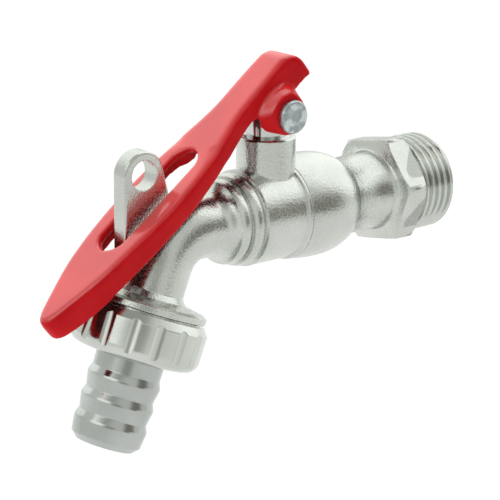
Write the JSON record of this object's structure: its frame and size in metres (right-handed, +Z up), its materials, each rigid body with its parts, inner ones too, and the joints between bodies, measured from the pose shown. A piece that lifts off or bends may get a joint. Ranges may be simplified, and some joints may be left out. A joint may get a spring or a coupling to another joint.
{
  "type": "lockable hose tap",
  "caption": "Lockable quarter turn hose tap: plated body with elbow spout, union nut and barbed tail, and a slotted red lever that drops over a padlock lug.",
  "frame": {"origin": "on the inlet axis, at the hexagon's outer shoulder where the inlet thread starts", "axes": "+X out along the inlet thread, +Z up the stem, spout and lever in the XZ plane towards -X"},
  "size_m": [0.1027, 0.0268, 0.0767],
  "materials": {
    "nickel_plate": "satin nickel plate on brass",
    "polished_plate": "bright plate",
    "zinc_plate": "zinc plated steel",
    "red_coat": "glossy red coat",
    "seat_plastic": "white sealing plastic",
    "seal_rubber": "black rubber"
  },
  "bodies": {
    "body": {"tap_body": "nickel_plate", "inlet_end": "nickel_plate", "body_joint_ring": "seat_plastic", "inlet_seat": "seat_plastic", "outlet_seat": "seat_plastic", "stem_gland": "polished_plate", "stem_thrust_washer": "seat_plastic"},
    "spindle": {"stem": "polished_plate", "ball": "polished_plate", "stem_o_ring_lower": "seal_rubber", "stem_o_ring_upper": "seal_rubber"},
    "lever": {"handle": "red_coat", "handle_rivet": "zinc_plate"},
    "tail": {"hose_tail": "nickel_plate", "union_washer": "seal_rubber"},
    "nut": {"union_nut": "nickel_plate"}
  },
  "joints": [
    {"name": "stem_turn", "type": "hinge", "parent": "body", "child": "spindle", "pos_m": [-0.0357, 0, 0], "axis": [0, 0, 1], "range_deg": [-2, 2]},
    {"name": "handle_lift", "type": "hinge", "parent": "spindle", "child": "lever", "pos_m": [-0.0357, 0, 0.0217], "axis": [0, 1, 0], "range_deg": [0, 60]},
    {"name": "tail_slide", "type": "slide", "parent": "body", "child": "tail", "axis": [-0.3778, 0, -0.9259], "range_m": [0, 0.00408]},
    {"name": "nut_turn", "type": "hinge", "parent": "tail", "child": "nut", "pos_m": [-0.061, 0, 0], "axis": [-0.3778, 0, -0.9259], "range_deg": [0, 810]}
  ],
  "couplings": [
    {"joint": "tail_slide", "follows": "nut_turn", "m_per_rad": 0.00028871}
  ]
}
